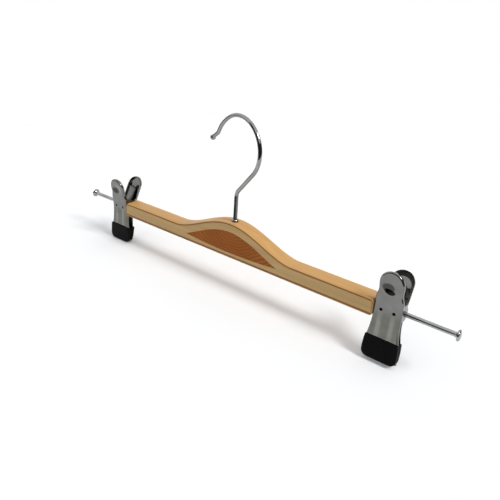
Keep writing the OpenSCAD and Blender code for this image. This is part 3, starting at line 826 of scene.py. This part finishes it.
class ClipShape:
    """Lines of a clip in millimetres, about its rod: X along the rod, front jaw towards -Y."""
    # The sheet, its folded edge, and its face: distance, two leans, and the bend between them
    sheet, flange, face_out, bend_l, lean = 0.8, 2.6, 6.2, 4.0, np.radians(18)
    up, low = np.tan(lean), np.tan(np.radians(7.5))
    # The ears, with the level stretch of the sides by them, and the front jaw's waist
    ear_r, ear_web, web_from, level, waist, bore_r = 5.0, 7.0, 3.5, 5.5, 0.7, 2.15
    # Gaps: from the bar, and from the front jaw's ears to the rear one's
    bar_gap, ear_gap = 0.4, 0.3
    # Pierced holes, and the flutes that run down from them
    hole_x, hole_z, hole_r, flute_wide, flute_deep = 4.4, -1.32, 1.1, 1.1, 0.13
    # Thumb bowl: depth, half sizes, and its middle as a share of the handle's height
    bowl_deep, bowl_x, bowl_z, bowl_share = 1.1, 6.2, 5.8, 0.6
    # Pad: height, skin, depth under the jaw, and half the gap between two pads
    cap, skin, pad_end, mate = 13.4, 0.9, 1.5, 0.15
    # Spring: the sleeve it wraps, its sheet, its seat's height, its gap and its turned-in end
    sleeve_r, spring_t, seat_z, spring_gap, spring_end = 2.1, 0.5, 15.0, 0.3, 1.2

    def __init__(self, scene, name):
        clip, hook, bar = scene.hanger_clip, scene.hanger_hook, scene.hanger_bar
        self.grooves = clip.grooves
        self.handle, self.pivot = mm(clip.handle_width) / 2, mm(clip.pivot_width) / 2
        self.foot, self.top = mm(clip.foot_width) / 2, mm(clip.handle_height)
        self.depth, self.bend = mm(clip.foot_depth), mm(clip.bend)
        self.arc_z, self.cap_z = self.top - self.handle, self.cap - self.depth
        self.x = SIDES[name] * (mm(bar.bar_length) / 2 + self.bar_gap + self.pivot)
        self.z = -mm(hook.rail_height)
        self.swing = getattr(clip, f"{name}_swing")

    def place(self, points):
        """Turns points about the rod by the clip's swing and moves them to the clip's place."""
        c, s = np.cos(self.swing), np.sin(self.swing)
        x, y, z = points.T
        return np.stack([x + self.x, y * c - z * s, y * s + z * c + self.z], -1)

    def fitted(self, way, points, faces):
        """A front jaw's piece in its place, or for way -1 the rear jaw's: the same mirrored to face
        +Y, with its faces turned so that they still point outwards."""
        return self.place(points * [1, way, 1]), faces[:, ::way]

    def face(self, z):
        """Distance of the outer face from the rod: two straight leans joined by a parabola."""
        b = self.bend_l
        blend = self.low * z + (self.up - self.low) * (z + b) ** 2 / (4 * b)
        return self.face_out + np.where(z > b, z * self.up, np.where(z < -b, z * self.low, blend))

    def half(self, z, pivot):
        """Half width at height Z: flared to the foot, level at the ears, waisted to the handle."""
        flat = self.level
        drop = np.clip((-flat - z) / (-flat - self.cap_z), 0, 1)
        u = np.clip((z - flat) / (self.arc_z - flat), 0, 1)
        dip = self.waist if pivot == self.pivot else 0.0
        rise = u * u * (3 - 2 * u)
        return (pivot + (self.foot - pivot) * drop ** 2 + (self.handle - pivot) * rise
                - dip * np.sin(np.pi * u) ** 2)

    def free_edge(self, z):
        """Y of the folded edge's free side: level, then run out at the foot; at the pivot an ear,
        a disc about the rod on a web."""
        flat, run_out = self.level, (self.flange - self.sheet) * (self.depth + z)
        fold = np.where(z > -flat, self.flange, self.sheet + run_out / (self.depth - flat))
        edge = fold - self.face(z)
        far = np.abs(z)
        start = self.sheet / 2 - self.face(np.sign(z) * self.ear_web)
        share = (far - self.web_from) / (self.ear_web - self.web_from)
        web = np.where(far < self.ear_web, start * share, edge)
        disc = np.where(far <= self.ear_r, np.sqrt(np.maximum(self.ear_r ** 2 - far ** 2, 0)), edge)
        return np.maximum(edge, np.maximum(np.minimum(web, 0), disc))

    def bowl(self, x, z):
        """Depth of the thumb bowl: 1 less the squared share of its radii, to the power 1.5."""
        across, up = x / self.bowl_x, (z - self.top * self.bowl_share) / self.bowl_z
        return self.bowl_deep * np.clip(1 - across ** 2 - up ** 2, 0, 1) ** 1.5

    def pressing(self, x, z):
        """Depth pressed into the face: a bowl for the thumb on the handle, and two flutes that
        run from the pierced holes down to the foot."""
        aside = (np.abs(x) - self.hole_x) / self.flute_wide
        runs = smooth(-z, 1.2, 8.0) * smooth(z, -self.depth - 1, -self.depth + 8)
        return self.bowl(x, z) + np.exp(-aside ** 2) * self.flute_deep * runs

    def marks(self, points):
        """Marks of a jaw's painted reflections: the foot's painted shade rises below the rod, the
        painted highlight streaks lie under the two holes, and the bowl's painted dark reflection is
        an oval a little to the left of its middle and lower."""
        x, _, z = points.T
        aside = np.abs(np.abs(x) - self.hole_x)
        left, lower, half_x, half_z = 1.8, 1, 4.4, 3
        across, up = (x + left) / half_x, (z - self.top * self.bowl_share + lower) / half_z
        return {"foot": smooth(-z, 1, 6), "painted_highlight_streak": 1 - smooth(aside, 0.6, 2.4),
                "bowl": 1 - smooth(across ** 2 + up ** 2, 0.5, 1.2)}


def bored(points, faces, wanted, axes, middle, radius):
    """Cuts a round hole in the wanted points of a grid, seen in two axes: faces whose middle lies
    inside the circle go, and the points left on the hole's edge move straight out or in to it."""
    out_of_reach = 99.0
    plan = np.where(wanted[:, None], points[:, axes] - middle, out_of_reach)
    gone = np.linalg.norm(plan[faces].mean(1), axis=1) < radius
    edge = np.intersect1d(faces[gone], faces[~gone])
    far = np.linalg.norm(plan[edge], axis=1)
    points[edge[:, None], axes] += (radius / far - 1)[:, None] * plan[edge]
    return faces[~gone]


def jaw_surface(shape, pivot):
    """Outer skin of the front jaw. Across goes from the folded edge's free side, round the bend
    and over the face to the middle line; along follows the outline from foot over the handle to
    foot. A point's height is its outline point's, so every row is a level or a radial line."""
    ears, r = shape.ear_web, shape.bend
    side_z = np.concatenate([np.linspace(-shape.depth, -ears, 64), np.linspace(-ears, ears, 71)[1:],
                             np.linspace(ears, shape.arc_z, 27)[1:]])
    top = unit(np.linspace(0, np.pi, 73)[1:-1])
    half, free = shape.half(side_z, pivot), shape.free_edge(side_z)
    outline = np.concatenate([np.stack([half, side_z], -1), [0, shape.arc_z] + shape.handle * top,
                              np.stack([-half, side_z], -1)[::-1]])
    inward = np.concatenate([np.tile([-1.0, 0], (len(half), 1)), -top,
                             np.tile([1.0, 0], (len(half), 1))])
    spine = np.stack([0 * outline[:, 0], np.minimum(outline[:, 1], shape.arc_z)], -1)
    over = shape.flange - shape.face(shape.arc_z + shape.handle * top[:, 1])
    edge_y = np.concatenate([free, over, free[::-1]])
    # Steps across: down the flange, round the bend, and over the face, closer towards its middle
    v, phi, w = np.linspace(1, 0, 30), quarter(9)[1:], np.linspace(0, 1, 34)[1:] ** 0.93
    # In the flange: the outline itself, with Y from the free edge to the bend
    flange = np.repeat(outline[:, None], len(v), 1)
    base = -shape.face(outline[:, 1])
    flange_y = base[:, None] + r + v * (edge_y - base - r)[:, None]
    # In the bend: inset grows as 1 - cos and depth falls as 1 - sin
    bend = outline[:, None] + (r * (1 - np.cos(phi)))[None, :, None] * inward[:, None]
    bend_y = -shape.face(bend[..., 1]) + r * (1 - np.sin(phi))
    start = outline + r * inward
    face = start[:, None] + w[None, :, None] * (spine - start)[:, None]
    face_y = -shape.face(face[..., 1]) + shape.pressing(face[..., 0], face[..., 1])
    flat = np.concatenate([flange, bend, face], 1)
    y = np.concatenate([flange_y, bend_y, face_y], 1)
    rows, columns = y.shape
    points = np.stack([flat[..., 0], y, flat[..., 1]], -1).reshape(-1, 3)
    faces = grid_faces(rows, columns)
    column = np.tile(np.arange(columns), rows)
    on_flange, on_face = column < len(v), column >= len(v) + len(phi)
    for side in SIDES.values():
        hole = [side * shape.hole_x, shape.hole_z]
        faces = bored(points, faces, on_face, [0, 2], hole, shape.hole_r)
    for side in SIDES.values():
        ear = on_flange & (points[:, 0] * side > 0)
        faces = bored(points, faces, ear, [1, 2], [0, 0], shape.bore_r)
    return points, faces


def pad_surface(shape):
    """Rubber boot of a front jaw: level rings with rounded corners, from the pocket's floor up its
    wall, over the lip, down the outside with the gripping grooves, and closed at the bottom."""
    half, bottom = shape.foot + shape.skin, -shape.depth - shape.pad_end
    corner, edge, lip, lip_in, soft, lip_soft = 4.3, 0.75, 0.3, 0.22, 0.7, 0.5
    bulge, bulge_at, taper = 0.15, 0.4, 0.75
    pocket_gap, pocket_deep, groove_half, groove_deep = 0.03, 1.6, 0.5, 0.42
    dot_r, dot_deep, dot_z = 1.1, 0.5, (shape.cap_z + bottom) / 2
    pitch, lip_z, above, skin_in = shape.cap / (shape.grooves + 1), shape.cap_z - lip, 0.2, 0.2
    turn = circle(144)

    def ring(z, inset, soft, pocket=False):
        """A rounded oblong: half sides less inset, corners of radius soft."""
        share = np.clip((z - bottom) / (shape.cap_z - bottom), 0, 1)
        cut = corner - np.sqrt(max(corner ** 2 - max(corner - (z - bottom), 0) ** 2, 0))
        wide = half + bulge - taper * ((share - bulge_at) / (1 - bulge_at)) ** 2 - cut
        front, back = -shape.face(z) - shape.skin, -shape.mate
        if pocket:
            wide, front = shape.foot + pocket_gap, -shape.face(z) - pocket_gap
            back = -shape.face(z) + pocket_deep
        wide, front, back = wide - inset, front + inset, back - inset
        hx, hy, cy = wide - soft, (back - front) / 2 - soft, (back + front) / 2
        # A circle of radius soft pushed out to the four corners, with the sides spread evenly
        spread = np.clip(unit(turn) * 1.5, -1, 1)
        x, y = (spread * [hx, hy] + soft * unit(turn)).T
        return np.stack([x, y + cy, np.full(len(turn), z)], -1)
    rings = [ring(-shape.depth, 0, lip, True), ring(lip_z, 0, lip, True)]
    for a in quarter(5):
        rings.append(ring(lip_z + lip * np.cos(a), lip_in * (1 - np.sin(a)), lip_soft))
    for z in np.linspace(lip_z, bottom + edge + above, 60)[1:]:
        level = ring(z, 0, soft)
        k = np.round((shape.cap_z - z) / pitch)
        off = (shape.cap_z - z - k * pitch) / groove_half
        if 1 <= k <= shape.grooves and abs(off) < 1:
            cut = groove_deep * np.sqrt(1 - off * off)
            level[:, 1] = np.minimum(level[:, 1], -shape.mate - cut)
        rings.append(level)
    for a in quarter(7)[1:]:
        rings.append(ring(bottom + edge * (1 - np.sin(a)), edge * (1 - np.cos(a)), soft))
    # The moulding dot: a small bowl in the middle of the front
    for level in rings:
        front = level[:, 1] < -shape.face(level[:, 2]) - shape.skin + skin_in
        bowl = 1 - (level[:, 0] ** 2 + (level[:, 2] - dot_z) ** 2) / dot_r ** 2
        level[:, 1] += np.where(front, np.clip(bowl, 0, 1) * dot_deep, 0)
    return capped(rings)


def strip_line(shape):
    """Middle line of the spring's rear half in Y and Z: from under the sleeve round it, straight
    out to the handle, and turned in at the end."""
    t, gap, seat_z = shape.spring_t, shape.spring_gap, shape.seat_z
    loop = shape.sleeve_r + gap + t / 2
    seat = shape.sheet + shape.bowl(0, seat_z) + gap
    tip = np.array([shape.face(np.array(seat_z)) - seat - t, seat_z])
    leave = np.arctan2(tip[1], tip[0]) - np.arccos(loop / np.linalg.norm(tip))
    arc = loop * unit(np.linspace(-np.pi / 2, leave, 30))
    straight = arc[-1] + np.linspace(0, 1, 16)[1:-1, None] * (tip - arc[-1])
    curl = tip + np.linspace(0, shape.spring_end, 5)[:, None] * unit(shape.lean + np.pi / 2)
    return np.concatenate([arc, straight, curl])


def spring_surface(shape):
    """A strip along its bent line: at each point a flat oblong ring with softened edges."""
    half = strip_line(shape)
    line = np.concatenate([half[::-1][:-1] * [-1, 1], half])
    along = along_line(line)
    out = np.stack([along[:, 1], -along[:, 0]], -1)
    w, t, e = 4.0, shape.spring_t / 2, 0.1
    # Half of the ring across the strip: X and the distance along the strip's normal
    ring = np.array([(e - w, -t), (w - e, -t), (w - e / 4, e / 4 - t), (w, e - t), (w, t - e),
                     (w - e / 4, t - e / 4)])
    ring = np.concatenate([ring, -ring])
    yz = line[:, None] + ring[None, :, 1:] * out[:, None]
    return capped(np.concatenate([np.broadcast_to(ring[None, :, :1], yz.shape[:2] + (1,)), yz], -1))


def jaws(scene):
    """Both jaws of both clips: the clip's shape, the jaw's body, its half width at the pivot, and
    1 where it faces the front or -1 where it faces the back."""
    for name in SIDES:
        shape = ClipShape(scene, name)
        yield shape, f"{name}_front", shape.pivot, 1
        yield shape, f"{name}_rear", shape.pivot - shape.sheet - shape.ear_gap, -1


class HANGER_OT_jaws(bpy.types.Operator):
    """Build the pressed steel jaws with folded edges, ears, pierced holes and thumb bowls"""
    bl_idname = "hanger.jaws"
    bl_label = "Jaws"

    def execute(self, context):
        clip = context.scene.hanger_clip
        steel = metal_finish("Plated jaws", clip.steel, rough=0.1, scratch=0.04,
                             grain=(500, 500, 120), marked="foot")
        for shape, body, pivot, way in jaws(context.scene):
            points, faces = thickened(*jaw_surface(shape, pivot), shape.sheet)
            # The marks carry the jaw's painted reflections: a darker foot, highlight streaks and a
            # dark thumb bowl
            piece(f"{body}_pressed_jaw", *shape.fitted(way, points, faces), steel, body,
                  [f"{body}_jaw"], "jaw_steel", sharp=50, values=shape.marks(points))
        return {"FINISHED"}


class HANGER_OT_pads(bpy.types.Operator):
    """Build the rubber pads with their rounded edges and gripping grooves"""
    bl_idname = "hanger.pads"
    bl_label = "Pads"

    def execute(self, context):
        rubber = rubber_finish(context.scene.hanger_clip)
        for shape, body, _, way in jaws(context.scene):
            piece(f"{body}_rubber_pad", *shape.fitted(way, *pad_surface(shape)), rubber, body,
                  [f"{body}_pad"], "rubber_pad", sharp=60)
        return {"FINISHED"}


class HANGER_OT_springs(bpy.types.Operator):
    """Build the strip springs in their place, and finish the grip sleeves"""
    bl_idname = "hanger.springs"
    bl_label = "Springs and sleeves"

    def execute(self, context):
        # Two points this depth before and behind the rod go with the jaws' names to the piece,
        # which does nothing more with them
        clip, blend_half = context.scene.hanger_clip, 1.5
        steel = metal_finish("Spring steel", clip.steel, rough=0.28, scratch=0.1)
        for name in SIDES:
            shape = ClipShape(context.scene, name)
            points, faces = spring_surface(shape)
            start, end = shape.place(np.array([[0, -blend_half, 0], [0, blend_half, 0]])) * MM
            piece(f"{name}_strip_spring", shape.place(points), faces, steel, None,
                  [f"{name}_spring"], "spring_steel", sharp=40,
                  blend=(f"{name}_front", f"{name}_rear", tuple(start), tuple(end)))
            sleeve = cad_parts[f"{name}_grip_sleeve"]
            sleeve.data.materials.clear()
            sleeve.data.materials.append(steel)
        return {"FINISHED"}


# Stage

def set_camera(scene, focal):
    """Camera turned by yaw about Z, tipped down by pitch and rolled about its own axis, in a place
    in metres over the rods' axis."""
    yaw, pitch, roll = 0.63299, 0.27129, 0.06421
    x, y, over_rods = 0.231379, -0.300665, 0.178339
    camera = linked("Camera", bpy.data.cameras.new("Camera"))
    camera.matrix_world = (Matrix.Translation((x, y, over_rods - scene.hanger_hook.rail_height))
                           @ Matrix.Rotation(yaw, 4, "Z")
                           @ Matrix.Rotation(np.pi / 2 - pitch, 4, "X")
                           @ Matrix.Rotation(roll, 4, "Z"))
    camera.data.sensor_width = 36
    camera.data.lens = mm(focal)
    camera.data.shift_y = -0.18
    camera.data.clip_start, camera.data.clip_end = 0.01, 50
    scene.camera = camera


def seen_or_mirrored(f):
    """1 for rays from the camera, and for those that metal or glass sends on."""
    rays = [f.node("ShaderNodeLightPath", {}, {}, out=name)
            for name in ("Is Camera Ray", "Is Glossy Ray", "Is Transmission Ray")]
    return (rays[0] + rays[1] + rays[2]).clipped()


def add_floor(tint):
    """A round pale floor just under the pads, that glows a little: ring radius grows with the
    square."""
    radius, middle_x, middle_y, gap = 530, -100, 230, 0.05
    u = np.linspace(0, 1, 24)
    points, faces = lathe(radius * u ** 2, 0 * u, sides=64)
    points += [middle_x, middle_y, min(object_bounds()[0][2], CAD_BOX[0][2]) / MM - gap]
    f = Finish("Pale floor")
    dull = f.node("ShaderNodeBsdfDiffuse", {}, {"Color": (*tint, 1)})
    glow, share = f.light("Emission", (0.95, 1.02, 1.12)), 0.08
    pale = f.end(f.shared(seen_or_mirrored(f) * share, dull, glow))
    mesh_object("floor", points, faces[:, ::-1], pale, {})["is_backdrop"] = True


def add_backdrop():
    """A dark curved backdrop far out, which only shiny pieces mirror: low all round but for a gap
    behind the hanger, higher in front and to the right, and highest front left. Its tops and its
    shade change over degrees about Z."""
    radius, bottom, count = 900, -700.0, 58
    turn = np.linspace(-195, 90, count)
    top = 320 * smooth(turn, -140, -125) * smooth(-turn, -70, -50)
    top += 700 * smooth(turn, -130, -120) * smooth(-turn, 92, 102)
    top += 400 * smooth(turn, -92, -84) * smooth(-turn, 60, 68)
    shade = 0.07 - 0.05 * smooth(turn, -92, -86) * smooth(-turn, 25, 35)
    foot = np.insert(radius * unit(np.radians(turn)), 2, bottom, axis=1)
    points = np.repeat(foot, 2, axis=0)
    points[1::2, 2] = top
    f = Finish("Dark backdrop")
    dark = f.end(f.light("Emission", f.attribute("shade")))
    card = mesh_object("dark_backdrop", points, grid_faces(count, 2)[:, ::-1], dark,
                       {"shade": np.repeat(shade, 2)})
    for ray in ("camera", "diffuse", "transmission", "volume_scatter", "shadow"):
        setattr(card, "visible_" + ray, False)
    card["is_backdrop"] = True


def add_lamp(energy):
    """A soft lamp from the right."""
    softness, lean = np.radians(18), np.radians(45)
    lamp = bpy.data.lights.new("Soft lamp", "SUN")
    lamp.energy, lamp.angle = energy, softness
    linked("Soft lamp", lamp).rotation_euler = (0, lean, 0)


def set_world(scene):
    """White surroundings where they are seen or mirrored, and a softer light that is brighter from
    above elsewhere."""
    scene.world = scene.world or bpy.data.worlds.new("World")
    f = Finish("World", scene.world)
    stops = [(0.0, (0.75, 0.75, 0.75)), (1.0, (1.0, 1.0, 1.0))]
    sky = f.node("ShaderNodeValToRGB", {"stops": stops}, {0: f.place("Generated").part(2)})
    plain, white = f.light("Background", sky, 0.66), f.light("Background", (1, 1, 1))
    f.end(f.shared(seen_or_mirrored(f), plain, white), "World")


class HANGER_OT_stage(bpy.types.Operator):
    """Set the camera, the floor, the dark backdrop, the soft lamp and the white surroundings"""
    bl_idname = "hanger.stage"
    bl_label = "Stage"

    def execute(self, context):
        scene, settings = context.scene, context.scene.hanger_stage
        scene.view_settings.view_transform = "Standard"
        set_camera(scene, settings.focal)
        add_floor(settings.floor)
        add_backdrop()
        add_lamp(settings.lamp)
        set_world(scene)
        return {"FINISHED"}


# Add-on

SETTINGS = (("hanger_bar", HANGER_bar_settings), ("hanger_hook", HANGER_hook_settings),
            ("hanger_clip", HANGER_clip_settings), ("hanger_stage", HANGER_stage_settings))
OPERATORS = (HANGER_OT_bar, HANGER_OT_facing, HANGER_OT_hook, HANGER_OT_rods, HANGER_OT_jaws,
             HANGER_OT_pads, HANGER_OT_springs, HANGER_OT_stage)


class HANGER_PT_panel(bpy.types.Panel):
    """Lists the hanger's sizes, colours and building steps."""
    bl_idname = "HANGER_PT_panel"
    bl_label = "Skirt hanger"
    bl_space_type = "VIEW_3D"
    bl_region_type = "UI"
    bl_category = "Hanger"

    def draw(self, context):
        for key, group in SETTINGS:
            box = self.layout.box()
            for name in group.__annotations__:
                box.prop(getattr(context.scene, key), name)
        for operator in OPERATORS:
            self.layout.operator(operator.bl_idname)


def register():
    for key, group in SETTINGS:
        bpy.utils.register_class(group)
        setattr(bpy.types.Scene, key, PointerProperty(type=group))
    for kind in OPERATORS + (HANGER_PT_panel,):
        bpy.utils.register_class(kind)


def unregister():
    for kind in (HANGER_PT_panel,) + OPERATORS[::-1]:
        bpy.utils.unregister_class(kind)
    for key, group in SETTINGS[::-1]:
        delattr(bpy.types.Scene, key)
        bpy.utils.unregister_class(group)


def main():
    """Registers the add-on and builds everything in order."""
    register()
    bpy.ops.hanger.bar()
    bpy.ops.hanger.facing()
    bpy.ops.hanger.hook()
    bpy.ops.hanger.rods()
    bpy.ops.hanger.jaws()
    bpy.ops.hanger.pads()
    bpy.ops.hanger.springs()
    bpy.ops.hanger.stage()


if __name__ == "__main__":
    main()
